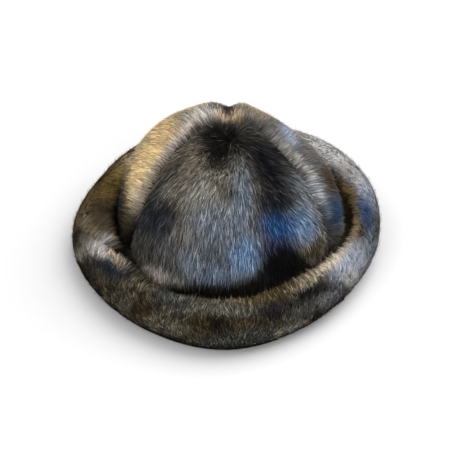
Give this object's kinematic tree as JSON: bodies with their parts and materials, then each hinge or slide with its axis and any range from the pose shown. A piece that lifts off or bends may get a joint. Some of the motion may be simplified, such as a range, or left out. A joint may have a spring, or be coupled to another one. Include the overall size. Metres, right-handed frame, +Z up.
{
  "type": "fur hat",
  "caption": "Soft fur hat with a tall dented crown, a horseshoe front panel and a plump turned-up brim, open below for the head.",
  "frame": {"origin": "on the floor under the middle of the hat's bounding box", "axes": "+Z up out of the crown's top, +Y from the front of the hat to its back, +X to the right as seen from the front"},
  "size_m": [0.2782, 0.2992, 0.1314],
  "materials": {
    "crown_front_fur": "dense grey and taupe fur, matt, combed down",
    "crown_wrap_fur": "dense golden to grey fur, matt, combed back over the ridge",
    "brim_front_fur": "dense dark brown fur, matt, combed upwards",
    "brim_back_fur": "dense grey-brown fur, matt, combed upwards"
  },
  "bodies": {
    "root": {"crown_front": "crown_front_fur", "crown_wrap": "crown_wrap_fur", "brim_front": "brim_front_fur", "brim_back": "brim_back_fur"}
  },
  "joints": []
}
